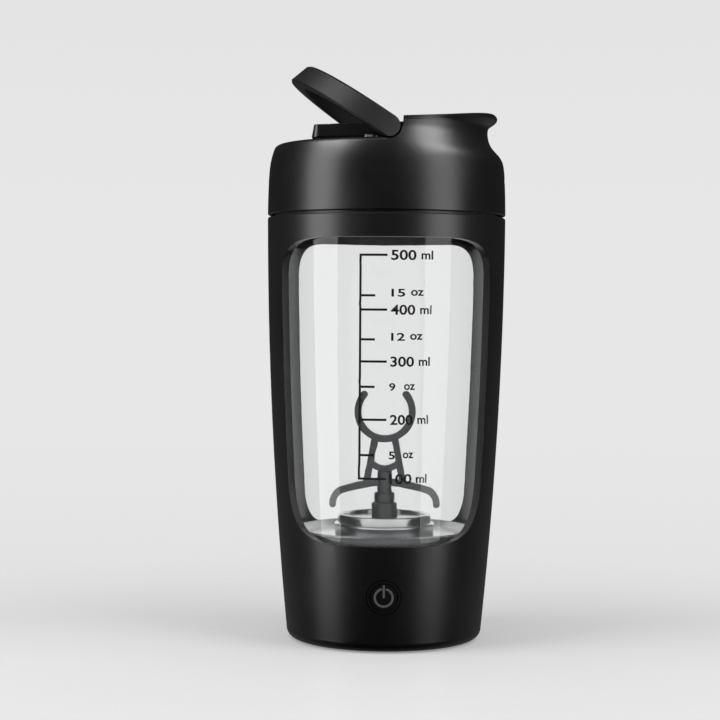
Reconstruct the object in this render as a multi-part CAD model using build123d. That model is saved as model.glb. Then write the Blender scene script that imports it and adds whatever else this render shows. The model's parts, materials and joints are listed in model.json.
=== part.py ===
from build123d import *
import math
import os

# Electric protein shaker bottle, in millimetres. +Z is up, the origin is the bottom centre,
# the power button faces -Y, the spout points to +X and the open cap lies towards -X.

# ---- body: one long arc, widest at the top ----
TOP_Z = 162.8                     # rim of the outer sleeve
BODY_ARC = ((38.05, 6.6), (44.2, 92.2), (46.0, TOP_Z))   # outside of the sleeve, (radius, height)
EDGE_BREAK = 0.4                  # chamfer on each side of the seam between sleeve and lid
SLEEVE_WALL = 2.8
CUP_GAP = 0.2                     # air between sleeve and cup
CUP_WALL = 2.2
FOOT_Z = 0.4                      # the sleeve's bottom edge, just clear of the surface below
BASE_BORE = 32.6                  # radius of the opening in the bottom
EDGE_Z = 4.2                      # where the rounded bottom edge starts

# ---- windows in the sleeve ----
# Each: bottom and top height, half angle, then each corner as (share of the depth, height).
FRONT_WINDOW = (40.0, 154.0, 58.5, (1.27, 23.0), (1.1, 14.0))
REAR_WINDOW = (41.3, 154.0, 59.5, (1.0, 14.5), (1.0, 14.5))

# ---- cup and its threaded neck ----
CUP_BOTTOM_Z, CUP_FLOOR_Z = 37.5, 39.7
FLANGE_R, FLANGE_T = 44.2, 2.0
NECK_R, NECK_BORE, NECK_TOP_Z = 40.9, 38.9, 180.0
THREAD_LEAD, THREAD_TURNS, THREAD_DEPTH = 6.0, 1.2, 0.9
THREAD_START_Z = 166.5
THREAD_GAP = 0.3

# ---- steel floor of the cup ----
DISH_Z, DISH_T = 40.7, 0.8        # height of its upper face, sheet thickness
PEDESTAL_LOW = (19.3, 45.0)       # radius and height of the lower tier
PEDESTAL_RIM = (18.1, 48.3)
PEDESTAL_TOP_Z = 47.0

# ---- lid ----
LID_BOTTOM_Z = 163.7
LID_R = 46.0
DECK_Z = 190.5
DECK_EDGE = ((43.62, 189.0), (42.8, 190.05), (41.0, DECK_Z + 0.01))   # its rounding, (radius, height)
CAVITY_TOP_Z = 188.3
SPOUT_LEFT_X = 6.0
SPOUT_WALL = 2.0
PIVOT_X, PIVOT_Z = 0.6, 194.85    # common axis of the handle and the cap, along Y
KNUCKLE_R = 4.25
LUG_Y = (23.2, 36.0)

# ---- carry handle, drawn lying flat around the deck ----
HANDLE_R_OUT = (42.6, 40.2)       # outer radius at its lower and upper edge
HANDLE_R_IN = 36.4
HANDLE_RAISED = 34.0              # degrees above the deck at rest

# ---- flip cap, drawn lying open on the deck ----
CAP_REACH, CAP_HALF_WIDTH = 29.2, 22.5
CAP_BELOW, CAP_ABOVE = 2.4, 2.8   # tray's faces below and above the pivot
CAP_PLATE, CAP_DRAFT = 1.6, 12.0
CAP_DROOP = 1.4                   # degrees below level at rest
CAP_CLOSED_SLOPE = 4.0            # degrees above level when shut
HOLE_X, HOLE_R = 19.5, 8.0        # drinking hole
CAP_PIN_R = 1.0

# ---- power button in the front of the base ----
BUTTON_Z, BUTTON_R, BUTTON_GAP = 21.3, 6.3, 0.3
ICON_R, ICON_STROKE, ICON_GAP_ANGLE = 3.3, 0.85, 19.7

# ---- paddle, a flat moulding in the XZ plane ----
PADDLE_STROKE, PADDLE_DEPTH = 2.7, 3.0
PADDLE_RING_Z, PADDLE_RING_R = 87.9, 10.55
PADDLE_RING_OPENING = (39.3, 140.7)

# ---- drive ----
SHAFT_R = 1.5
RUNNING_GAP = 0.05
MOTOR_R, MOTOR_Z = 12.0, (12.0, 35.0)
BRACKET_Z = (35.3, 37.3)

# ---- screws of the base cover ----
BOSS_RADIUS, BOSS_ANGLES = 26.5, (45, 135, 225, 315)

# ---- charging socket at the back ----
PORT_Z = 16.0
PORT_COVER = (14.0, 8.0, 1.2)     # width, height, thickness


def circle_through(a, b, c):
    """Centre and radius of the circle through three (radius, height) points."""
    ax, ay, bx, by, cx, cy = *a, *b, *c
    d = 2 * (ax * (by - cy) + bx * (cy - ay) + cx * (ay - by))
    sa, sb, sc = ax**2 + ay**2, bx**2 + by**2, cx**2 + cy**2
    ux = (sa * (by - cy) + sb * (cy - ay) + sc * (ay - by)) / d
    uy = (sa * (cx - bx) + sb * (ax - cx) + sc * (bx - ax)) / d
    return ux, uy, math.hypot(ax - ux, ay - uy)


ARC_X, ARC_Z, ARC_R = circle_through(*BODY_ARC)


def body_radius(z, inset=0.0):
    """Radius of the body at a height, or of a wall that lies inset below its surface."""
    return ARC_X + math.sqrt(ARC_R**2 - (z - ARC_Z) ** 2) - inset


def body_curve(z0, z1, inset=0.0):
    """The body's arc between two heights."""
    points = [(body_radius(z, inset), z) for z in (z0, (z0 + z1) / 2, z1)]
    return ThreePointArc(*points)


def turned(*edges):
    """Solid of revolution about Z from the edges of a closed (radius, height) outline."""
    return revolve(Plane.XZ * make_face(edges), Axis.Z)


def turned_outline(*points):
    """Solid of revolution about Z from the corners of a closed (radius, height) outline."""
    return turned(*Polyline(*points, close=True).edges())


def ring(outer, inner, z0, z1):
    """Plain ring about Z."""
    return turned_outline((inner, z0), (outer, z0), (outer, z1), (inner, z1))


def rod(radius, start, end):
    """Cylinder between two points."""
    axis = Vector(*end) - Vector(*start)
    return Part() + Solid.make_cylinder(radius, axis.length, Plane(Vector(*start), z_dir=axis))


def block(x, y, z):
    """Box between two limits on each axis."""
    middle = [sum(pair) / 2 for pair in (x, y, z)]
    return Pos(*middle) * Box(*[high - low for low, high in (x, y, z)])


def around(angle, radius, z=0.0):
    """Place on a circle about Z."""
    return (radius * math.cos(math.radians(angle)), radius * math.sin(math.radians(angle)), z)


def upright(face, x=0.0, y=0.0, z=0.0):
    """A face drawn with height as its second coordinate, stood up in the XZ plane and moved."""
    return Pos(x, y, z) * (Plane.XZ * face)


def both_sides(shape):
    """A shape and its mirror image across the XZ plane."""
    return Part() + [shape, mirror(shape, Plane.XZ)]


def body_solid(inset, z0, z1):
    """Solid plug of the body's shape, used to give pieces the body's curved surface."""
    low, high = (body_radius(z0, inset), z0), (body_radius(z1, inset), z1)
    return turned(body_curve(z0, z1, inset), *Polyline(high, (0, z1), (0, z0), low).edges())


# ---------------------------------------------------------------- sleeve

def window_cutter(low, high, half_angle, low_corner, high_corner):
    """Wedge that widens with depth, facing -Y, its sides on radial planes and its corners elliptical."""
    faces = []
    for depth in (20.0, 60.0):
        half = depth * math.tan(math.radians(half_angle))
        low_x, low_z = low_corner[0] * depth, low_corner[1]
        high_x, high_z = high_corner[0] * depth, high_corner[1]
        corners = [
            EllipticalCenterArc((half - low_x, low + low_z), low_x, low_z, -90, arc_size=90),
            EllipticalCenterArc((half - high_x, high - high_z), high_x, high_z, 0, arc_size=90),
            EllipticalCenterArc((high_x - half, high - high_z), high_x, high_z, 90, arc_size=90),
            EllipticalCenterArc((low_x - half, low + low_z), low_x, low_z, 180, arc_size=90),
        ]
        runs = [Line(a @ 1, b @ 0) for a, b in zip(corners, corners[1:] + corners[:1])]
        faces.append(upright(make_face(corners + runs), y=-depth))
    return loft(faces, ruled=True)


def port_recess():
    """Shallow pocket in the back of the sleeve that the port cover lies in, and the socket's slot."""
    width, height, depth = PORT_COVER
    pocket = block((-width / 2, width / 2), (30, 45), (PORT_Z - height / 2, PORT_Z + height / 2))
    pocket = fillet(pocket.edges().filter_by(Axis.Y), 2.0) - body_solid(depth, EDGE_Z, 30)
    slot = block((-4.9, 4.9), (30, 45), (PORT_Z - 2.0, PORT_Z + 2.0))
    return pocket + fillet(slot.edges().filter_by(Axis.Y), 1.9)


def outer_sleeve():
    """Outer body with a ledge for the motor bracket and bosses for the base cover."""
    ledge_z, ledge_bore, step_z = 33.3, 34.0, 6.0
    rebate_r = FLANGE_R + 0.2
    rebate_z = TOP_Z - FLANGE_T
    inset = SLEEVE_WALL
    break_z = TOP_Z - EDGE_BREAK
    sleeve = turned(
        Line((BASE_BORE, FOOT_Z), (34.3, FOOT_Z)),
        ThreePointArc((34.3, FOOT_Z), (36.65, 1.45), (body_radius(EDGE_Z), EDGE_Z)),
        body_curve(EDGE_Z, break_z),
        *Polyline((body_radius(break_z), break_z), (body_radius(TOP_Z, EDGE_BREAK), TOP_Z), (rebate_r, TOP_Z),
                  (rebate_r, rebate_z), (body_radius(rebate_z, inset), rebate_z)).edges(),
        body_curve(BRACKET_Z[0], rebate_z, inset),
        *Polyline((body_radius(BRACKET_Z[0], inset), BRACKET_Z[0]), (ledge_bore, BRACKET_Z[0]),
                  (ledge_bore, ledge_z), (body_radius(ledge_z - 2, inset), ledge_z - 2)).edges(),
        body_curve(step_z, ledge_z - 2, inset),
        *Polyline((body_radius(step_z, inset), step_z), (BASE_BORE, step_z), (BASE_BORE, FOOT_Z)).edges(),
    )
    sleeve = sleeve - window_cutter(*FRONT_WINDOW) - Rot(0, 0, 180) * window_cutter(*REAR_WINDOW)
    for angle in BOSS_ANGLES:
        boss = rod(3.2, around(angle, BOSS_RADIUS, 3.0), around(angle, BOSS_RADIUS, 14.0))
        web = Rot(0, 0, angle) * block((BOSS_RADIUS, 36.5), (-1, 1), (6.2, 14))
        hole = rod(1.1, around(angle, BOSS_RADIUS, 2.0), around(angle, BOSS_RADIUS, 12.0))
        sleeve = sleeve + boss + web - hole
    bore_r = BUTTON_R + BUTTON_GAP
    return sleeve - rod(bore_r, (0, -50, BUTTON_Z), (0, -30, BUTTON_Z)) - port_recess()


# ---------------------------------------------------------------- cup and floor

def thread_ridge(root_r, crest_r, start_z):
    """Helical ridge of the lid's screw thread, from its buried root to its crest."""
    root_half, crest_half = 1.1, 0.6
    outline = Polyline((root_r, -root_half), (crest_r, -crest_half), (crest_r, crest_half),
                       (root_r, root_half), close=True)
    profile = upright(make_face(outline), z=start_z)
    path = Pos(0, 0, start_z) * Helix(THREAD_LEAD, THREAD_LEAD * THREAD_TURNS, root_r)
    return sweep(profile, path, is_frenet=True)


def cup():
    """Clear inner vessel: flange in the sleeve's rebate, threaded neck above, open floor for the drive."""
    outer, inner = SLEEVE_WALL + CUP_GAP, SLEEVE_WALL + CUP_GAP + CUP_WALL
    flange_z = TOP_Z - FLANGE_T
    shoulder_z = flange_z - 2.0
    opening = 16.5
    corner = 3.0
    wall = turned(
        *Polyline((opening, CUP_FLOOR_Z), (opening, CUP_BOTTOM_Z),
                  (body_radius(CUP_BOTTOM_Z, outer), CUP_BOTTOM_Z)).edges(),
        body_curve(CUP_BOTTOM_Z, flange_z, outer),
        *Polyline((body_radius(flange_z, outer), flange_z), (FLANGE_R, flange_z), (FLANGE_R, TOP_Z),
                  (NECK_R, TOP_Z), (NECK_R, NECK_TOP_Z - 0.4), (NECK_R - 0.4, NECK_TOP_Z),
                  (NECK_BORE + 0.4, NECK_TOP_Z), (NECK_BORE, NECK_TOP_Z - 0.4), (NECK_BORE, TOP_Z + 0.5),
                  (body_radius(shoulder_z, inner), shoulder_z)).edges(),
        body_curve(CUP_FLOOR_Z + corner, shoulder_z, inner),
        Line((body_radius(CUP_FLOOR_Z + corner, inner), CUP_FLOOR_Z + corner),
             (body_radius(CUP_FLOOR_Z + corner, inner) - corner, CUP_FLOOR_Z)),
        Line((body_radius(CUP_FLOOR_Z + corner, inner) - corner, CUP_FLOOR_Z), (opening, CUP_FLOOR_Z)),
    )
    return wall + thread_ridge(NECK_R - 0.4, NECK_R + THREAD_DEPTH, THREAD_START_Z)


def mixing_dish():
    """Pressed steel floor: flat ring, two-tier pedestal with a sunk top, turned-up rim."""
    half = DISH_T / 2
    low_r, low_z = PEDESTAL_LOW
    rim_r, rim_z = PEDESTAL_RIM
    path = FilletPolyline(
        (3.65, PEDESTAL_TOP_Z - half), (rim_r - half - 1.4, PEDESTAL_TOP_Z - half),
        (rim_r - half - 1.4, rim_z - half), (rim_r - half, rim_z - half),
        (rim_r - half, low_z - half), (low_r - half, low_z - half),
        (low_r - half, DISH_Z - half), (31.6, DISH_Z - half), (34.2, 42.7),
        radius=0.42,
    )
    return revolve(Plane.XZ * trace(path, DISH_T), Axis.Z)


def seal_nut():
    """Hexagonal nut that clamps the collar under the steel floor."""
    hexagon = Pos(0, 0, 43.9) * extrude(RegularPolygon(7.0, 6), 2.2)
    return hexagon - ring(3.55, 0, 43, 47)


def floor_pieces():
    """The steel floor, the collar through it and what seals and guides the shaft."""
    return {
        "mixing_dish": mixing_dish(),
        "dish_gasket": ring(31.0, 29.2, CUP_FLOOR_Z, DISH_Z - DISH_T),
        "seal_housing": turned_outline(
            (2.6, 43.4), (3.5, 43.4), (3.5, 47.0), (5.0, 47.0), (5.0, 52.2), (4.5, 52.7),
            (1.8, 52.7), (1.8, 51.7), (2.6, 51.7)),
        "seal_nut": seal_nut(),
        "shaft_bearing": ring(2.6, SHAFT_R + RUNNING_GAP, 43.8, 48.5),
        "shaft_seal": turned_outline(
            (2.6, 48.7), (2.6, 51.6), (SHAFT_R + RUNNING_GAP, 51.6), (SHAFT_R + RUNNING_GAP, 50.9),
            (2.1, 50.4), (2.1, 49.6), (SHAFT_R + RUNNING_GAP, 49.2), (SHAFT_R + RUNNING_GAP, 48.7)),
        "drive_shaft": rod(SHAFT_R, (0, 0, 41.2), (0, 0, 62.0)),
    }


# ---------------------------------------------------------------- paddle

def bar(width, *points):
    """Flat bar with rounded ends along straight runs, in the XZ plane's own coordinates."""
    face = Sketch() + [trace(Line(a, b), width) for a, b in zip(points, points[1:])]
    return face + [Pos(*p) * Circle(width / 2) for p in points]


def arc_bar(width, start, middle, end):
    """Flat bar with rounded ends along an arc."""
    ends = [Pos(*p) * Circle(width / 2) for p in (start, end)]
    return trace(ThreePointArc(start, middle, end), width) + ends


def paddle():
    """Open ring on two splayed legs, a cross arc between them, two curved arms and the hub."""
    w = PADDLE_STROKE
    start, end = PADDLE_RING_OPENING
    centre = (0, PADDLE_RING_Z)

    def on_ring(angle):
        a = math.radians(angle)
        return (PADDLE_RING_R * math.cos(a), centre[1] + PADDLE_RING_R * math.sin(a))

    shape = arc_bar(w, on_ring(start), on_ring(270), on_ring(end))
    for side in (-1, 1):
        shape += bar(w, (side * 3.9, 77.4), (side * 7.1, 60.3))
        shape += arc_bar(w, (side * 1.5, 60.6), (side * 9.1, 59.4), (side * 17.2, 57.3))
        shape += arc_bar(w, (side * 17.2, 57.3), (side * 19.3, 55.2), (side * 20.1, 51.9))
    shape += arc_bar(2.5, (-5.4, 68.3), (0, 65.8), (5.4, 68.3))
    shape += bar(w, (-1.5, 60.6), (1.5, 60.6))
    flat = extrude(Plane.XZ * shape, PADDLE_DEPTH / 2, both=True)
    hub = turned_outline((0, 52.9), (3.9, 52.9), (3.9, 56.2), (3.5, 56.6), (2.9, 56.6), (2.9, 64.7),
                         (2.4, 65.3), (0, 65.3))
    return flat + hub - rod(SHAFT_R + 0.01, (0, 0, 52), (0, 0, 62.01))


# ---------------------------------------------------------------- lid

# Outline of the lid at each height: half length towards the spout, and radius elsewhere.
SKIRT = ((LID_R, LID_BOTTOM_Z), (45.90, 170.0), (45.71, 176.0))   # (radius, height)
SHOULDER = ((176.0, 45.71, 45.71), (178.6, 45.57, 45.57), (181.2, 45.36, 45.38), (183.8, 44.9, 45.03),
            (186.4, 43.55, 44.45), (189.0, 41.2, 43.62), (191.6, 39.6, 42.5), (194.2, 38.95, 41.3),
            (195.8, 38.85, 40.8), (197.2, 39.1, 40.5))
LIP = ((197.2, 39.1, 40.5), (198.7, 40.5, 40.5), (200.2, 42.3, 40.5), (201.3, 42.5, 40.45),
       (202.3, 41.7, 40.35), (203.4, 39.7, 40.2))
RIM_LINE = ((-4.0, 197.8), (6.0, 198.5), (20.0, 199.5), (31.5, 200.9), (38.9, 202.0), (46.0, 202.8))


def lid_section(z, reach, radius):
    """Closed outline: half circle on the handle's side, half ellipse on the spout's side."""
    arcs = (EllipticalCenterArc((0, 0), reach, radius, -90, arc_size=180), CenterArc((0, 0), radius, 90, 180))
    return Pos(0, 0, z) * make_face(arcs)


def lid_outside():
    """Outside of the lid before anything is cut away: skirt, shoulder and flared lip."""
    low, high = SKIRT[0][1], SKIRT[-1][1]
    skirt = turned(ThreePointArc(*SKIRT), *Polyline(SKIRT[-1], (0, high), (0, low), SKIRT[0]).edges())
    skirt = chamfer(skirt.edges().group_by(Axis.Z)[0], EDGE_BREAK)
    return skirt + loft([lid_section(*s) for s in SHOULDER]) + loft([lid_section(*s) for s in LIP])


def above_slope(offset):
    """Everything above the plane that the shut cap is parallel to, offset from the pivot."""
    slope = Pos(PIVOT_X, 0, PIVOT_Z) * Rot(0, -CAP_CLOSED_SLOPE, 0)
    return slope * Pos(0, 0, offset) * Box(140, 140, 30, align=(Align.CENTER, Align.CENTER, Align.MIN))


def lid_top_cut():
    """What is taken off above the deck and above the spout's rising rim."""
    sky = 220.0
    over_deck = Polyline((-60, DECK_Z), (PIVOT_X, DECK_Z), (PIVOT_X, PIVOT_Z), (SPOUT_LEFT_X, PIVOT_Z),
                         (SPOUT_LEFT_X, sky), (-60, sky), close=True)
    rim = Spline(*RIM_LINE)
    start, end = RIM_LINE[0], RIM_LINE[-1]
    over_rim = [rim, *Polyline(end, (end[0], sky), (start[0], sky), start).edges()]
    faces = (make_face(over_deck), make_face(over_rim))
    slabs = Part() + [extrude(Plane.XZ * f, 60, both=True) for f in faces]
    return slabs + rod(KNUCKLE_R + 0.75, (PIVOT_X, -60, PIVOT_Z), (PIVOT_X, 60, PIVOT_Z))


def deck_edge():
    """What is taken off to round the edge of the deck on the handle's side."""
    start, _, end = DECK_EDGE
    beyond = Polyline(end, (end[0], 193.0), (46.0, 193.0), (46.0, start[1]), start)
    return turned(ThreePointArc(*DECK_EDGE), *beyond.edges()) & block((-60, 0), (-60, 60), (180, 200))


def spout_recess():
    """Sloped pocket inside the spout that the cap shuts into, open towards the deck."""
    inner_reach, inner_radius = 36.9, 38.0
    pocket = extrude(lid_section(185.0, inner_reach, inner_radius), 30)
    flare = loft([lid_section(196.8, inner_reach, inner_radius), lid_section(200.6, 38.9, 38.1),
                  lid_section(204.6, 41.2, 38.4)])
    right = block((SPOUT_LEFT_X + SPOUT_WALL, 60), (-60, 60), (180, 220))
    channel = block((-6, 15), (-LUG_Y[0] + 0.3, LUG_Y[0] - 0.3), (180, 220))
    return ((pocket + flare) & right & above_slope(-3.5)) + (channel & above_slope(-3.5))


def hinge_lugs():
    """Ears on each side of the cap that carry its pin and the handle's studs."""
    low, high = LUG_Y
    foot = block((PIVOT_X - KNUCKLE_R, SPOUT_LEFT_X + 1), (low, high), (DECK_Z - 0.5, PIVOT_Z))
    upper = block((PIVOT_X, SPOUT_LEFT_X + 1), (low, high), (PIVOT_Z - 1, PIVOT_Z + 1.8))
    ear = foot + upper + rod(KNUCKLE_R, (PIVOT_X, low, PIVOT_Z), (PIVOT_X, high, PIVOT_Z))
    ear = ear - rod(2.0 + RUNNING_GAP, (PIVOT_X, high - 4.6, PIVOT_Z), (PIVOT_X, high + 1, PIVOT_Z))
    ear = ear - rod(CAP_PIN_R + RUNNING_GAP, (PIVOT_X, low - 1, PIVOT_Z), (PIVOT_X, low + 3.1, PIVOT_Z))
    return both_sides(ear)


def lid_shell():
    """Moulded lid: skirt, deck, lugs and the open spout with its drinking hole."""
    cavity = turned_outline(
        (0, LID_BOTTOM_Z - 1), (44.1, LID_BOTTOM_Z - 1), (44.1, LID_BOTTOM_Z), (43.9, 174.0), (43.5, 181.0),
        (42.4, 185.2), (39.2, 187.1), (37.5, CAVITY_TOP_Z), (0, CAVITY_TOP_Z))
    outside = lid_outside() - lid_top_cut() - deck_edge()
    shell = outside - cavity + hinge_lugs() - spout_recess() - deck_bumpers()
    collar = Pos(HOLE_X, 0, 0) * ring(HOLE_R + 1.5, HOLE_R - 0.5, CAVITY_TOP_Z + 0.5, PIVOT_Z + 1)
    collar -= above_slope(-3.0)
    hole = rod(HOLE_R, (HOLE_X, 0, 180), (HOLE_X, 0, 210))
    return shell + collar - hole


def lid_liner():
    """Threaded ring inside the lid, with an inward seat over the gasket."""
    bore = NECK_R + THREAD_DEPTH + THREAD_GAP
    liner = turned_outline(
        (bore, TOP_Z + 0.1), (43.4, TOP_Z + 0.1), (43.4, 180.6), (42.1, 184.6), (37.0, 184.6), (37.0, 182.2),
        (bore, 182.2))
    ridge = thread_ridge(bore + 0.4, NECK_R + THREAD_GAP, THREAD_START_Z + THREAD_LEAD / 2)
    return liner + ridge


def deck_bumpers():
    """Small soft stops beside the lugs, let into the deck."""
    wide = block((-8.2, -4.8), (31.2, 34.2), (DECK_Z - 0.6, DECK_Z + 1.5))
    narrow = block((-4.2, -3.2), (31.2, 34.2), (DECK_Z - 0.6, DECK_Z + 1.2))
    return both_sides(fillet(wide.edges().filter_by(Axis.Z), 0.6)) + both_sides(narrow)


def carry_handle():
    """Bow with rounded ends and a stud into each lug, turned up about the pivot."""
    low, high = PIVOT_Z - KNUCKLE_R, PIVOT_Z + KNUCKLE_R
    out_low, out_high = HANDLE_R_OUT
    edge = 0.7
    hoop = turned_outline(
        (HANDLE_R_IN + edge, low), (out_low - edge, low), (out_low - 0.15, low + edge),
        (out_high + 0.15, high - edge), (out_high - edge, high), (HANDLE_R_IN + edge, high),
        (HANDLE_R_IN, high - edge), (HANDLE_R_IN, low + edge))
    left_half = block((-60, PIVOT_X), (-60, 60), (low - 1, high + 1))
    ends = rod(KNUCKLE_R, (PIVOT_X, -60, PIVOT_Z), (PIVOT_X, 60, PIVOT_Z))
    studs = both_sides(rod(2.0, (PIVOT_X, LUG_Y[1] - 4.5, PIVOT_Z), (PIVOT_X, 37.5, PIVOT_Z)))
    flat = (hoop & (left_half + ends)) + studs
    return flat.rotate(Axis((PIVOT_X, 0, PIVOT_Z), (0, 1, 0)), HANDLE_RAISED)


def drooped(shape):
    """Moves a shape drawn level from the pivot towards -X to where the open cap lies."""
    return Pos(PIVOT_X, 0, PIVOT_Z) * Rot(0, -CAP_DROOP, 0) * shape


def cap_pieces():
    """The cap's tray with its knuckle, the seal pad in its hollow side and its steel pin."""
    reach, half = CAP_REACH, CAP_HALF_WIDTH
    height = CAP_BELOW + CAP_ABOVE
    hollow_x, hollow_length = 1.1 - reach * 0.58, reach - 7.1
    outline = Pos(-reach / 2, 0) * Rectangle(reach, 2 * half)
    outline = fillet(outline.vertices().group_by(Axis.X)[0], 3.0)
    tray = Pos(0, 0, -CAP_BELOW) * extrude(outline, height, taper=CAP_DRAFT)
    hollow = Pos(hollow_x, 0) * Rectangle(hollow_length, 2 * half - 5.6)
    hollow = fillet(hollow.vertices(), 2.0)
    tray = tray - Pos(0, 0, CAP_PLATE - CAP_BELOW) * extrude(hollow, height)
    tray = fillet(tray.edges().group_by(Axis.Z)[0], 0.6)
    knuckle = rod(CAP_ABOVE, (0, -half, 0), (0, half, 0))
    tray = tray - block((-0.5, 3), (-half - 1, half + 1), (-3, 5)) + knuckle
    tray = tray - rod(CAP_PIN_R + 0.01, (0, -half - 1, 0), (0, half + 1, 0))
    pad_z = CAP_PLATE - CAP_BELOW
    pad = Pos(hollow_x, 0) * Rectangle(hollow_length - 0.4, 2 * half - 6.0)
    pad = Pos(0, 0, pad_z) * extrude(fillet(pad.vertices(), 1.8), 2.8)
    plug_x = -(HOLE_X - PIVOT_X)
    plug = rod(HOLE_R - 0.8, (plug_x, 0, pad_z), (plug_x, 0, 4.5))
    plug = fillet(plug.edges().group_by(Axis.Z)[-1], 0.6)
    pin_half = LUG_Y[0] + 3.0
    return {
        "flip_cap": drooped(tray),
        "cap_seal_pad": drooped(pad + plug),
        "cap_hinge_pin": drooped(rod(CAP_PIN_R, (0, -pin_half, 0), (0, pin_half, 0))),
    }


# ---------------------------------------------------------------- power button

def power_icon():
    """Open ring with an upright bar, in the XZ plane's own coordinates, centred on the button."""
    half_gap = math.radians(ICON_GAP_ANGLE)
    ends = [(side * ICON_R * math.sin(half_gap), ICON_R * math.cos(half_gap)) for side in (-1, 1)]
    mark = arc_bar(ICON_STROKE, ends[0], (0, -ICON_R), ends[1])
    return mark + bar(ICON_STROKE, (0, 0.2), (0, 4.35))


def button_pieces():
    """Button with a ringed face that follows the body's curve, its lit symbol and the switch plunger."""
    skin_y = -body_radius(BUTTON_Z)
    keep = body_solid(0.0, EDGE_Z, 34)
    shaft = rod(BUTTON_R, (0, -45, BUTTON_Z), (0, skin_y + 4.5, BUTTON_Z))
    groove = extrude(upright(Circle(5.35) - Circle(4.85), z=BUTTON_Z), 50) - body_solid(0.35, EDGE_Z, 34)
    symbol = extrude(upright(power_icon(), z=BUTTON_Z), 50)
    pocket = symbol - body_solid(0.5, EDGE_Z, 34)
    flange = rod(7.8, (0, skin_y + 4.2, BUTTON_Z), (0, skin_y + 5.4, BUTTON_Z))
    stem_end = -32.4
    stem = rod(2.0, (0, skin_y + 5.0, BUTTON_Z), (0, stem_end, BUTTON_Z))
    inlay = (symbol & body_solid(0.02, EDGE_Z, 34)) - body_solid(0.5, EDGE_Z, 34)
    return {
        "power_button": ((shaft & keep) - groove - pocket) + flange + stem,
        "button_icon": inlay,
        "switch_plunger": rod(1.7, (0, stem_end, BUTTON_Z), (0, -31.0, BUTTON_Z)),
    }


# ---------------------------------------------------------------- inside the base

def both_leads(points):
    """A pair of insulated wires, mirrored across the YZ plane, along runs joined by tangent arcs."""
    path = FilletPolyline(*points, radius=1.3)
    wire = sweep(Plane(path @ 0, z_dir=path % 0) * Circle(0.6), path)
    return Part() + [wire, mirror(wire, Plane.YZ)]


def drive_pieces():
    """Motor hanging from its bracket, its screws and the coupling to the drive shaft."""
    low, high = MOTOR_Z
    bracket = turned_outline(
        (0, BRACKET_Z[0]), (body_radius(37, SLEEVE_WALL) - 0.6, BRACKET_Z[0]),
        (body_radius(37, SLEEVE_WALL) - 0.6, BRACKET_Z[1]), (0, BRACKET_Z[1]))
    bracket -= rod(3.3, (0, 0, 30), (0, 0, 40))
    screws, screw_r = [], 1.2
    can = rod(MOTOR_R, (0, 0, low), (0, 0, high)) + rod(3.1, (0, 0, high), (0, 0, high + 1.5))
    can = fillet(can.edges().group_by(Axis.Z)[0], 0.8)
    for side in (-1, 1):
        x = side * 8.0
        bracket -= rod(screw_r + 0.1, (x, 0, 30), (x, 0, 40))
        can -= rod(screw_r, (x, 0, high - 3), (x, 0, high + 1))
        screws.append(rod(screw_r, (x, 0, high - 3), (x, 0, 37.5)) + rod(2.2, (x, 0, 37.3), (x, 0, 38.6)))
    shaft_hole = rod(1.0 + RUNNING_GAP, (0, 0, low + 4), (0, 0, high + 2))
    return {
        "motor_can": can - shaft_hole,
        "motor_end_bell": ring(MOTOR_R - 0.6, 0, 9.8, low),
        "motor_shaft": rod(1.0, (0, 0, low + 4), (0, 0, 40.8)),
        "motor_bracket": bracket,
        "motor_screws": Part() + screws,
        "shaft_coupling": rod(2.9, (0, 0, 37.6), (0, 0, 43.2)) - rod(1.0, (0, 0, 37), (0, 0, 40.8))
        - rod(SHAFT_R, (0, 0, 41.2), (0, 0, 44)),
    }


def electronics():
    """Battery on its pad, control board with switch and light, charging board with its socket."""
    battery = fillet(block((-14.0, 14.0), (17.0, 25.0), (8.0, 33.0)).edges(), 1.2)
    board = block((-14, 14), (-28.0, -26.4), (8.0, 33.0))
    switch = block((-3, 3), (-31.5, -28.0), (BUTTON_Z - 3, BUTTON_Z + 3))
    switch -= rod(1.8, (0, -32, BUTTON_Z), (0, -30.1, BUTTON_Z))
    port_y = body_radius(PORT_Z, SLEEVE_WALL) - 0.3
    charge_board = block((-8, 8), (27.4, 28.6), (9.0, 23.0))
    outline = upright(fillet(Rectangle(8.9, 3.2).vertices(), 1.55), y=port_y, z=PORT_Z)
    mouth = upright(fillet(Rectangle(8.3, 2.6).vertices(), 1.25), y=port_y + 1, z=PORT_Z)
    socket = extrude(outline, port_y - 28.6)
    socket -= extrude(mouth, port_y - 28.6)
    tongue = block((-3.3, 3.3), (29.0, port_y - 1.0), (PORT_Z - 0.35, PORT_Z + 0.35))
    return {
        "battery": battery,
        "battery_pad": block((-13, 13), (14.6, 17.0), (10.0, 31.0)),
        "control_board": board,
        "tact_switch": switch,
        "status_led": block((7.0, 9.0), (-28.8, -28.0), (BUTTON_Z - 0.8, BUTTON_Z + 0.8)),
        "charge_board": charge_board,
        "charge_port": socket + tongue,
        "motor_leads": both_leads(((5.0, -3.0, 9.8), (5.0, -3.0, 7.0), (7.0, -14.0, 7.0), (9.0, -20.0, 10.0),
                                   (9.0, -26.4, 10.0))),
        "battery_leads": both_leads(((11.5, 21.0, 8.0), (11.5, 21.0, 4.6), (13.0, 6.0, 4.6),
                                     (13.0, -12.0, 4.6), (12.0, -20.0, 9.6), (12.0, -26.4, 9.6))),
    }


# ---------------------------------------------------------------- base cover and charging flap

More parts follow.
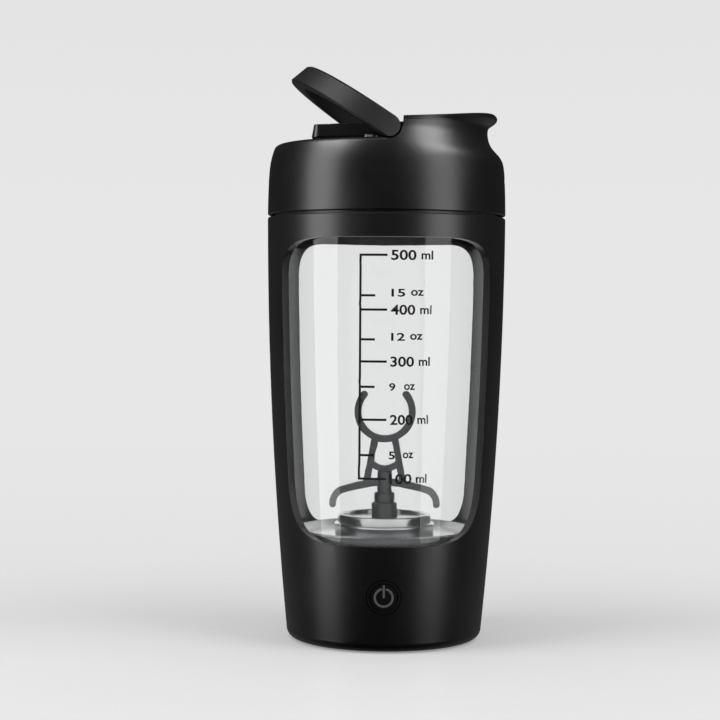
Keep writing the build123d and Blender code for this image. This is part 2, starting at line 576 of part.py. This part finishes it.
def base_pieces():
    """Bottom plate with its skirt, screws, seal and the soft ring underneath."""
    plate_z = (0.8, 2.8)
    skirt = (31.0, 29.8)
    cover = turned_outline(
        (0, plate_z[0]), (29.6, plate_z[0]), (29.6, 1.3), (31.8, 1.3), (31.8, plate_z[0]), (32.4, plate_z[0]),
        (32.4, plate_z[1]), (skirt[0], plate_z[1]), (skirt[0], 5.4), (skirt[1], 5.4), (skirt[1], plate_z[1]),
        (0, plate_z[1]))
    screws = []
    for angle in BOSS_ANGLES:
        x, y, _ = around(angle, BOSS_RADIUS)
        cover -= rod(2.4, (x, y, 0), (x, y, 1.9)) + rod(1.3, (x, y, 0), (x, y, 4))
        screw = rod(2.2, (x, y, 0.9), (x, y, 1.9)) + rod(1.1, (x, y, 1.8), (x, y, 9.5))
        screws.append(screw - Pos(x, y, 0.8) * extrude(RegularPolygon(1.0, 6), 0.7))
    return {
        "base_cover": cover,
        "cover_screws": Part() + screws,
        "base_oring": Pos(0, 0, 3.7) * Torus(31.78, 0.76),
        "foot_ring": turned_outline((29.7, 0.3), (30.0, 0), (31.4, 0), (31.7, 0.3), (31.7, 1.3), (29.7, 1.3)),
    }


def port_cover():
    """Soft flap with a hinge barrel along its lower edge and a plug for the socket."""
    width, height, thickness = PORT_COVER
    gap = 0.25
    low, high = PORT_Z - height / 2 + gap, PORT_Z + height / 2 - gap
    flap = block((-width / 2 + gap, width / 2 - gap), (30, 45), (low, high))
    flap = fillet(flap.edges().filter_by(Axis.Y), 1.7)
    flap = (flap & body_solid(0.05, EDGE_Z, 30)) - body_solid(thickness - 0.1, EDGE_Z, 30)
    plug_y = body_radius(PORT_Z, thickness)
    plug = block((-4.4, 4.4), (plug_y - 1.3, plug_y + 0.4), (PORT_Z - 1.1, PORT_Z + 1.1))
    return flap + fillet(plug.edges().filter_by(Axis.Y), 1.0)


def main():
    """Builds every piece and writes one STEP file for each."""
    pieces = {
        "outer_sleeve": outer_sleeve(), "cup": cup(), "paddle": paddle(),
        "lid_shell": lid_shell(), "lid_liner": lid_liner(),
        "lid_gasket": ring(41.5, 39.1, NECK_TOP_Z, 182.1),
        "deck_bumpers": deck_bumpers(), "carry_handle": carry_handle(), "port_cover": port_cover(),
    }
    for group in (floor_pieces, cap_pieces, button_pieces, drive_pieces, electronics, base_pieces):
        pieces.update(group())
    os.makedirs("parts", exist_ok=True)
    for name, piece in pieces.items():
        export_step(piece, f"parts/{name}.step")


main()
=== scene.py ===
import json
import math

import bmesh
import bpy
from mathutils import Matrix, Vector


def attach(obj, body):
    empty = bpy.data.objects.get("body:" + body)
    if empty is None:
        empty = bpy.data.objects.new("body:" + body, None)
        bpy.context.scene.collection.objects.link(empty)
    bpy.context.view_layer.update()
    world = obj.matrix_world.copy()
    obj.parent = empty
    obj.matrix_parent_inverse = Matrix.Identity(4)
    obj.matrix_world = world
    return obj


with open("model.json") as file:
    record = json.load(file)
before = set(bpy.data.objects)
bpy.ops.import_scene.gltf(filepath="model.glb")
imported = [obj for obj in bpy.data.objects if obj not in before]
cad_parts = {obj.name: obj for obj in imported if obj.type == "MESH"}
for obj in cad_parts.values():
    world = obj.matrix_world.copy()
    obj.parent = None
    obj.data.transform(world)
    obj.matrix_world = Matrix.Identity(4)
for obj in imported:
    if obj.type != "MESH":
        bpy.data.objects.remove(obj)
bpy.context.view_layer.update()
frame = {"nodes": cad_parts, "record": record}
nodes = frame["nodes"]

MM = 0.001

# ---- camera, as the photograph was taken ----
CAMERA_DISTANCE = 0.700          # from the bottle's axis
CAMERA_HEIGHT = 0.126
CAMERA_AIM = (-0.0099, 0.0, 0.10784)
CAMERA_ROLL = 0.4                # degrees
LENS = 90.0

# ---- scale print on the cup, in mm ----
# Height of each long tick and its volume in ml.
LONG_MARKS = ((147.4, "500"), (127.4, "400"), (108.4, "300"), (87.0, "200"), (65.1, "100"))
# Height of each short tick, its volume in oz and how far the words stand above the tick.
SHORT_MARKS = ((132.6, "15", 1.0), (116.5, "12", 1.0), (99.1, "9", 0.0), (73.9, "5", 0.0))
PRINT_LINE_X = -9.4
LONG_TICK_END, SHORT_TICK_END = 0.5, -3.9
PRINT_STROKE = 0.85
PRINT_LIFT = 0.06                # top of the ink above the cup
PRINT_FOOT = 0.01                # bottom of the ink above the cup
PRINT_TAPER = 0.0014             # share by which the words narrow for each mm down from the top mark
# Left and right edge of a number and of its unit: three, two and one digit.
ML_EDGES = (1.8, 11.2, 13.1, 17.7)
OZ_EDGES = {2: (2.0, 7.1, 9.4, 14.4), 1: (1.4, 3.7, 7.4, 11.8)}
ML_HEIGHT, ML_UNIT_HEIGHT, ML_UNIT_RISE = 3.8, 3.3, 0.1
OZ_HEIGHT, OZ_UNIT_HEIGHT = 2.9, 2.2
LETTER_WEIGHT = 0.022            # thickening of the letters, as a share of their size
PRINTED_BAND = (0.042, 0.155)    # heights of the cup's wall that the print's curve is read from, in metres


# ------------------------------------------------------------------ materials

class Shader:
    """A small helper that adds nodes to one material and links them by name."""

    def __init__(self, name):
        self.material = bpy.data.materials.new(name)
        self.material.use_nodes = True
        self.tree = self.material.node_tree
        self.principled = self.tree.nodes["Principled BSDF"]
        self.output = self.tree.nodes["Material Output"]

    def node(self, kind, inputs=None, **settings):
        made = self.tree.nodes.new("ShaderNode" + kind)
        for key, value in settings.items():
            setattr(made, key, value)
        for key, value in (inputs or {}).items():
            self.feed(made.inputs[key], value)
        return made

    def feed(self, socket, value):
        if isinstance(value, bpy.types.NodeSocket):
            self.tree.links.new(value, socket)
        else:
            socket.default_value = value

    def set(self, **values):
        for key, value in values.items():
            self.feed(self.principled.inputs[key.replace("_", " ")], value)
        return self

    def place(self):
        return self.node("TexCoord").outputs["Object"]

    def noise(self, scale, detail=3.0, stretch=None, roughness=0.5):
        where = self.place()
        if stretch:
            where = self.node("Mapping", {"Vector": where, "Scale": stretch}).outputs[0]
        settings = {"Vector": where, "Scale": scale, "Detail": detail, "Roughness": roughness}
        return self.node("TexNoise", settings).outputs["Fac"]

    def spread(self, fac, low, high, start=0.3, end=0.7):
        """Maps a 0..1 pattern to a range of values."""
        limits = {"Value": fac, "From Min": start, "From Max": end, "To Min": low, "To Max": high}
        return self.node("MapRange", limits).outputs[0]

    def math(self, operation, *values):
        return self.node("Math", dict(enumerate(values)), operation=operation).outputs[0]

    def blend(self, fac, dark, light):
        """Colour between two, by a pattern."""
        made = self.node("Mix", data_type="RGBA")
        self.feed(made.inputs["Factor"], fac)
        self.feed(made.inputs[6], (*dark, 1))
        self.feed(made.inputs[7], (*light, 1))
        return made.outputs[2]

    def bump(self, height, strength, distance):
        return self.node("Bump", {"Height": height, "Strength": strength, "Distance": distance}).outputs[0]


def moulded(name, dark, light, rough, grain=2600.0, grain_depth=0.000012, specular=0.5, wave=0.03):
    """Moulded plastic or rubber: faint mottling, uneven gloss and a fine surface grain."""
    s = Shader(name)
    broad = s.noise(38.0, 4.0)
    fine = s.noise(grain, 2.0)
    s.set(Base_Color=s.blend(s.spread(broad, 0, 1), dark, light),
          Roughness=s.spread(broad, rough - wave, rough + wave),
          Normal=s.bump(fine, 0.35, grain_depth), Specular_IOR_Level=specular)
    return s.material


def metal(name, colour, rough, stretch, scale=900.0, depth=0.00001):
    """Bare metal with fine lines along one direction and slightly uneven tone."""
    s = Shader(name)
    lines = s.noise(scale, 4.0, stretch)
    dark = tuple(c * 0.86 for c in colour)
    s.set(Base_Color=s.blend(s.spread(s.noise(60.0), 0, 1), dark, colour), Metallic=1.0,
          Roughness=s.spread(lines, rough * 0.75, rough * 1.3), Normal=s.bump(lines, 0.25, depth))
    return s.material


def spun_steel(name):
    """Polished pressed steel with faint circular lines round the shaft."""
    s = Shader(name)
    place = s.node("SeparateXYZ", {0: s.place()})
    x_squared, y_squared = (s.math("MULTIPLY", place.outputs[i], place.outputs[i]) for i in (0, 1))
    radius = s.math("SQRT", s.math("ADD", x_squared, y_squared))
    across = s.node("CombineXYZ", {0: radius, 2: place.outputs[2]}).outputs[0]
    lines = s.node("TexNoise", {"Vector": across, "Scale": 3200.0, "Detail": 3.0}).outputs["Fac"]
    tone = s.blend(s.spread(s.noise(45.0), 0, 1), (0.62, 0.63, 0.64), (0.78, 0.785, 0.79))
    s.set(Base_Color=tone, Metallic=1.0, Roughness=s.spread(lines, 0.10, 0.2),
          Normal=s.bump(lines, 0.2, 0.00001))
    return s.material


def clear_plastic(name):
    """Clear cup wall: smooth, faintly wavy, lets lamps through."""
    s = Shader(name)
    wave = s.noise(55.0, 2.0, (1, 1, 0.25))
    s.set(Base_Color=(0.985, 0.99, 0.99, 1), Roughness=s.spread(s.noise(90.0), 0.012, 0.03), IOR=1.5,
          Transmission_Weight=1.0, Specular_Tint=(0.5, 0.5, 0.5, 1), Normal=s.bump(wave, 0.12, 0.0004))
    path = s.node("LightPath")
    shade = s.node("BsdfTransparent", {"Color": (0.93, 0.94, 0.94, 1)})
    mix = s.node("MixShader", {0: path.outputs["Is Shadow Ray"], 1: s.principled.outputs[0],
                               2: shade.outputs[0]})
    s.feed(s.output.inputs["Surface"], mix.outputs[0])
    return s.material


def circuit_board(name):
    """Green board with a faint pattern of tracks."""
    s = Shader(name)
    cells = s.node("TexVoronoi", {"Vector": s.place(), "Scale": 420.0}, distance="MANHATTAN")
    tracks = s.spread(cells.outputs["Distance"], 0, 1, 0.2, 0.5)
    s.set(Base_Color=s.blend(tracks, (0.01, 0.10, 0.045), (0.02, 0.2, 0.09)), Roughness=0.35)
    return s.material


materials = {
    "body_black": moulded("body_black", (0.0030, 0.0030, 0.0031), (0.0042, 0.0042, 0.0043), 0.34),
    "lid_black": moulded("lid_black", (0.0022, 0.0022, 0.0023), (0.0032, 0.0032, 0.0033), 0.33),
    "handle_black": moulded("handle_black", (0.0045, 0.0045, 0.0047), (0.0060, 0.0060, 0.0062), 0.46,
                            specular=0.32),
    "clear_cup": clear_plastic("clear_cup"),
    "polished_steel": spun_steel("polished_steel"),
    "shaft_steel": metal("shaft_steel", (0.62, 0.62, 0.63), 0.2, (1, 1, 0.05)),
    "fastener_steel": metal("fastener_steel", (0.5, 0.5, 0.52), 0.32, (1, 1, 1)),
    "bronze": metal("bronze", (0.55, 0.36, 0.17), 0.4, (1, 1, 1)),
    "paddle_grey": moulded("paddle_grey", (0.020, 0.0205, 0.022), (0.032, 0.033, 0.035), 0.28),
    "black_silicone": moulded("black_silicone", (0.014, 0.014, 0.015), (0.022, 0.022, 0.023), 0.55,
                              specular=0.4),
    "grey_silicone": moulded("grey_silicone", (0.26, 0.265, 0.27), (0.34, 0.345, 0.35), 0.5, specular=0.4),
    "icon_grey": moulded("icon_grey", (0.080, 0.081, 0.083), (0.100, 0.101, 0.103), 0.45),
    "inner_black": moulded("inner_black", (0.02, 0.02, 0.021), (0.032, 0.032, 0.033), 0.36),
    "motor_metal": metal("motor_metal", (0.58, 0.59, 0.6), 0.28, (1, 1, 8)),
    "battery_wrap": moulded("battery_wrap", (0.05, 0.11, 0.32), (0.07, 0.14, 0.4), 0.3),
    "board_green": circuit_board("board_green"),
    "foam": moulded("foam", (0.12, 0.12, 0.12), (0.2, 0.2, 0.2), 0.8, grain=900.0, grain_depth=0.0002),
    "wire_red": moulded("wire_red", (0.4, 0.02, 0.02), (0.5, 0.03, 0.03), 0.4),
    "scale_ink": moulded("scale_ink", (0.002, 0.002, 0.002), (0.004, 0.004, 0.004), 0.6, specular=0.2),
}
slot_of = {row["node"]: row["material_slot"] for row in frame["record"]["subparts"]}


def finish_cad_nodes():
    """Gives every CAD node the material of its slot."""
    for name, obj in nodes.items():
        obj.data.materials.clear()
        obj.data.materials.append(materials[slot_of[name]])


# ------------------------------------------------------------------ scale print

def cup_radius_at():
    """Function giving the cup's radius at a height, from its widest CAD point at each height of the band."""
    widest = {}
    for v in nodes["cup"].data.vertices:
        z = v.co.z
        if PRINTED_BAND[0] < z < PRINTED_BAND[1]:
            key = round(z, 5)
            widest[key] = max(widest.get(key, 0.0), math.hypot(v.co.x, v.co.y))
    rings = sorted(widest.items())

    def radius(z):
        below = max((ring for ring in rings if ring[0] <= z), default=rings[0])
        above = min((ring for ring in rings if ring[0] >= z), default=rings[-1])
        if above[0] == below[0]:
            return below[1]
        share = (z - below[0]) / (above[0] - below[0])
        return below[1] + share * (above[1] - below[1])

    return radius


def wrap_on_cup(mesh, radius):
    """Lays a flat print, drawn as (x, height, lift), round the front of the cup."""
    for v in mesh.vertices:
        x, z, lift = v.co
        r = radius(z)
        a = x / r
        v.co = ((r + lift) * math.sin(a), -(r + lift) * math.cos(a), z)


def print_piece(name, mesh, radius):
    """Wraps a print mesh, gives it ink and lets it ride with the cup."""
    wrap_on_cup(mesh, radius)
    mesh.materials.clear()
    mesh.materials.append(materials["scale_ink"])
    obj = bpy.data.objects.new(name, mesh)
    bpy.context.scene.collection.objects.link(obj)
    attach(obj, "base")
    return obj


def stroke(bm, x0, x1, z0, z1, step=1.5 * MM):
    """Adds a thin printed bar, divided along its length so that it bends round the cup."""
    low, high = PRINT_FOOT * MM, PRINT_LIFT * MM
    along_x = (x1 - x0) > (z1 - z0)
    count = max(1, round(max(x1 - x0, z1 - z0) / step))
    sections = []
    for i in range(count + 1):
        t = i / count
        if along_x:
            x = x0 + t * (x1 - x0)
            corners = [(x, z0, low), (x, z1, low), (x, z1, high), (x, z0, high)]
        else:
            z = z0 + t * (z1 - z0)
            corners = [(x1, z, low), (x0, z, low), (x0, z, high), (x1, z, high)]
        sections.append([bm.verts.new(c) for c in corners])
    for a, b in zip(sections, sections[1:]):
        for i in range(4):
            j = (i + 1) % 4
            bm.faces.new((a[i], a[j], b[j], b[i]))
    bm.faces.new(sections[0][::-1])
    bm.faces.new(sections[-1])


def scale_lines(radius):
    """The upright line and its ticks, as one print."""
    bm = bmesh.new()
    half = PRINT_STROKE / 2 * MM
    left = PRINT_LINE_X * MM
    top, bottom = LONG_MARKS[0][0] * MM + half, LONG_MARKS[-1][0] * MM - half
    stroke(bm, left - half, left + half, bottom, top)
    for z, *_ in LONG_MARKS:
        stroke(bm, left + half, LONG_TICK_END * MM, z * MM - half, z * MM + half)
    for z, *_ in SHORT_MARKS:
        stroke(bm, left + half, SHORT_TICK_END * MM, z * MM - half, z * MM + half)
    bmesh.ops.recalc_face_normals(bm, faces=bm.faces)
    mesh = bpy.data.meshes.new("scale_lines")
    bm.to_mesh(mesh)
    bm.free()
    print_piece("scale_lines", mesh, radius)


def label(name, words, x0, x1, z_middle, height, radius):
    """A printed word, fitted between two edges at one height."""
    curve = bpy.data.curves.new(name, "FONT")
    curve.body = words
    curve.extrude = 0.02
    curve.resolution_u = 4
    curve.offset = LETTER_WEIGHT
    text = bpy.data.objects.new(name + "_text", curve)
    bpy.context.scene.collection.objects.link(text)
    bpy.context.view_layer.update()
    mesh = bpy.data.meshes.new_from_object(text.evaluated_get(bpy.context.evaluated_depsgraph_get()))
    bpy.data.objects.remove(text)
    xs, ys = [v.co.x for v in mesh.vertices], [v.co.y for v in mesh.vertices]
    wide, tall = max(xs) - min(xs), max(ys) - min(ys)
    middle = (max(ys) + min(ys)) / 2
    for v in mesh.vertices:
        x = x0 + (v.co.x - min(xs)) / wide * (x1 - x0)
        z = z_middle + (v.co.y - middle) / tall * height
        v.co = (x * MM, z * MM, (PRINT_LIFT if v.co.z > 0 else PRINT_FOOT) * MM)
    bm = bmesh.new()
    bm.from_mesh(mesh)
    bmesh.ops.remove_doubles(bm, verts=bm.verts, dist=1e-7)
    bmesh.ops.recalc_face_normals(bm, faces=bm.faces)
    bm.to_mesh(mesh)
    bm.free()
    print_piece(name, mesh, radius)


def scale_print():
    """Everything printed on the cup: lines, volume numbers and their units."""
    radius = cup_radius_at()
    scale_lines(radius)
    top = LONG_MARKS[0][0]
    for z, number in LONG_MARKS:
        share = 1 - PRINT_TAPER * (top - z)
        left, right, unit_left, unit_right = ML_EDGES
        label("mark_" + number, number, left, right * share, z, ML_HEIGHT, radius)
        label("unit_" + number, "ml", unit_left * share, unit_right * share, z + ML_UNIT_RISE, ML_UNIT_HEIGHT,
              radius)
    for z, number, rise in SHORT_MARKS:
        share = 1 - PRINT_TAPER * (top - z)
        left, right, unit_left, unit_right = OZ_EDGES[len(number)]
        label("mark_" + number, number, left, right, z + rise, OZ_HEIGHT, radius)
        label("unit_" + number, "oz", unit_left * share, unit_right * share, z + rise, OZ_UNIT_HEIGHT, radius)


# ------------------------------------------------------------------ studio

def strip_light(name, azimuth, elevation, distance, width, height, power):
    """Soft rectangular lamp that faces the bottle. Azimuth is measured from the camera's side."""
    data = bpy.data.lights.new(name, "AREA")
    data.shape = "RECTANGLE"
    data.size, data.size_y = width, height
    data.energy = power
    lamp = bpy.data.objects.new(name, data)
    bpy.context.scene.collection.objects.link(lamp)
    a, e = math.radians(azimuth), math.radians(elevation)
    away = Vector((math.sin(a) * math.cos(e), -math.cos(a) * math.cos(e), math.sin(e)))
    aim = Vector((0, 0, 0.11))
    lamp.location = aim + away * distance
    lamp.rotation_euler = away.to_track_quat("Z", "Y").to_euler()
    lamp.visible_camera = False
    lamp.visible_transmission = False


def studio_world():
    """Pale backdrop for the camera and through the clear cup, and dim light all round for the gloss."""
    world = bpy.data.worlds.new("studio")
    bpy.context.scene.world = world
    world.use_nodes = True
    tree = world.node_tree
    tree.nodes.clear()

    def add(kind, inputs=None, **settings):
        made = tree.nodes.new("ShaderNode" + kind)
        for key, value in settings.items():
            setattr(made, key, value)
        for key, value in (inputs or {}).items():
            if isinstance(value, bpy.types.NodeSocket):
                tree.links.new(value, made.inputs[key])
            else:
                made.inputs[key].default_value = value
        return made

    direction = add("SeparateXYZ", {0: add("TexCoord").outputs["Generated"]})

    def spread(value, start, end, low, high, **settings):
        limits = {"Value": value, "From Min": start, "From Max": end, "To Min": low, "To Max": high}
        return add("MapRange", limits, **settings).outputs[0]

    rise = spread(direction.outputs["Z"], -0.25, 0.25, 0.0, 1.0)
    backdrop = add("ValToRGB", {0: rise})
    ramp = backdrop.color_ramp
    # The backdrop's grey by height is painted shade: the dip just below the horizon stands in for the shade
    # on the floor behind the bottle, and the slow change of grey elsewhere for the fall of the studio light.
    stops = ((0.0, 0.825), (0.12, 0.82), (0.143, 0.77), (0.165, 0.715), (0.19, 0.745), (0.23, 0.765),
             (0.36, 0.80), (0.62, 0.80), (0.8, 0.775), (1.0, 0.76))
    while len(ramp.elements) < len(stops):
        ramp.elements.new(0.5)
    for element, (place, grey) in zip(ramp.elements, stops):
        element.position = place
        element.color = (grey, grey, grey, 1)
    soft = {"interpolation_type": "SMOOTHSTEP"}
    below = spread(direction.outputs["Z"], -0.35, 0.05, 0.16, 0.03, **soft)
    behind = spread(direction.outputs["Y"], -0.35, 0.45, 0.004, below, **soft)
    across = add("Math", {0: direction.outputs["Y"]}, operation="ABSOLUTE")
    beside = spread(across.outputs[0], 0.35, 0.65, 0.22, 1.0, **soft)
    paths = add("LightPath")
    from_camera, through_glass = paths.outputs["Is Camera Ray"], paths.outputs["Is Transmission Ray"]
    strength = add("Math", {0: beside, 1: from_camera}, operation="MAXIMUM")
    seen = add("Math", {0: from_camera, 1: through_glass}, operation="MAXIMUM")
    pale = add("Background", {"Color": backdrop.outputs["Color"], "Strength": strength.outputs[0]})
    lit = add("Background", {"Color": (1, 1, 1, 1), "Strength": behind})
    mix = add("MixShader", {0: seen.outputs[0], 1: lit.outputs[0], 2: pale.outputs[0]})
    out = add("OutputWorld")
    tree.links.new(mix.outputs[0], out.inputs["Surface"])


def pale_floor():
    """Round piece of pale floor that fades into the backdrop away from the bottle."""
    bm = bmesh.new()
    bmesh.ops.create_circle(bm, cap_ends=True, segments=128, radius=0.9)
    mesh = bpy.data.meshes.new("floor")
    bm.to_mesh(mesh)
    bm.free()
    floor = bpy.data.objects.new("floor", mesh)
    bpy.context.scene.collection.objects.link(floor)
    s = Shader("pale_floor")
    # Painted contact shadow: the floor glows evenly, and its glow is darkened where ambient occlusion finds
    # the bottle close by.
    shade = s.node("AmbientOcclusion", {"Distance": 0.16}).outputs["AO"]
    s.set(Base_Color=(0.30, 0.30, 0.30, 1), Roughness=0.3, Specular_IOR_Level=0.35,
          Emission_Color=s.blend(shade, (0.45, 0.45, 0.45), (1.12, 1.12, 1.12)), Emission_Strength=0.38)
    length = s.node("VectorMath", {0: s.place()}, operation="LENGTH").outputs["Value"]
    fade = s.node("MapRange", {"Value": length, "From Min": 0.05, "From Max": 0.26, "To Min": 0.15,
                               "To Max": 1.0}, interpolation_type="SMOOTHSTEP")
    clear = s.node("BsdfTransparent")
    mix = s.node("MixShader", {0: fade.outputs[0], 1: s.principled.outputs[0], 2: clear.outputs[0]})
    s.feed(s.output.inputs["Surface"], mix.outputs[0])
    mesh.materials.append(s.material)
    floor.visible_diffuse = floor.visible_glossy = False


def camera():
    """The photograph's viewpoint."""
    data = bpy.data.cameras.new("camera")
    data.lens = LENS
    data.sensor_width = 36.0
    data.clip_start, data.clip_end = 0.05, 20.0
    cam = bpy.data.objects.new("camera", data)
    bpy.context.scene.collection.objects.link(cam)
    cam.location = (0.0, -CAMERA_DISTANCE, CAMERA_HEIGHT)
    aim = (Vector(CAMERA_AIM) - cam.location).to_track_quat("-Z", "Y").to_matrix()
    cam.rotation_euler = (aim @ Matrix.Rotation(math.radians(CAMERA_ROLL), 3, "Z")).to_euler()
    bpy.context.scene.camera = cam


def studio():
    strip_light("strip_left", -64, 15, 0.95, 0.50, 1.25, 9.8)
    strip_light("strip_right", 54, 15, 0.95, 0.50, 1.25, 7.5)
    strip_light("upper_left", -66, 50, 0.95, 0.50, 0.34, 6.0)
    strip_light("upper_right", 63, 48, 0.95, 0.50, 0.34, 5.4)
    strip_light("overhead", 0, 85, 1.1, 0.9, 0.9, 1.3)
    studio_world()
    pale_floor()
    bpy.context.scene.view_settings.view_transform = "Standard"


camera()
finish_cad_nodes()
scale_print()
studio()
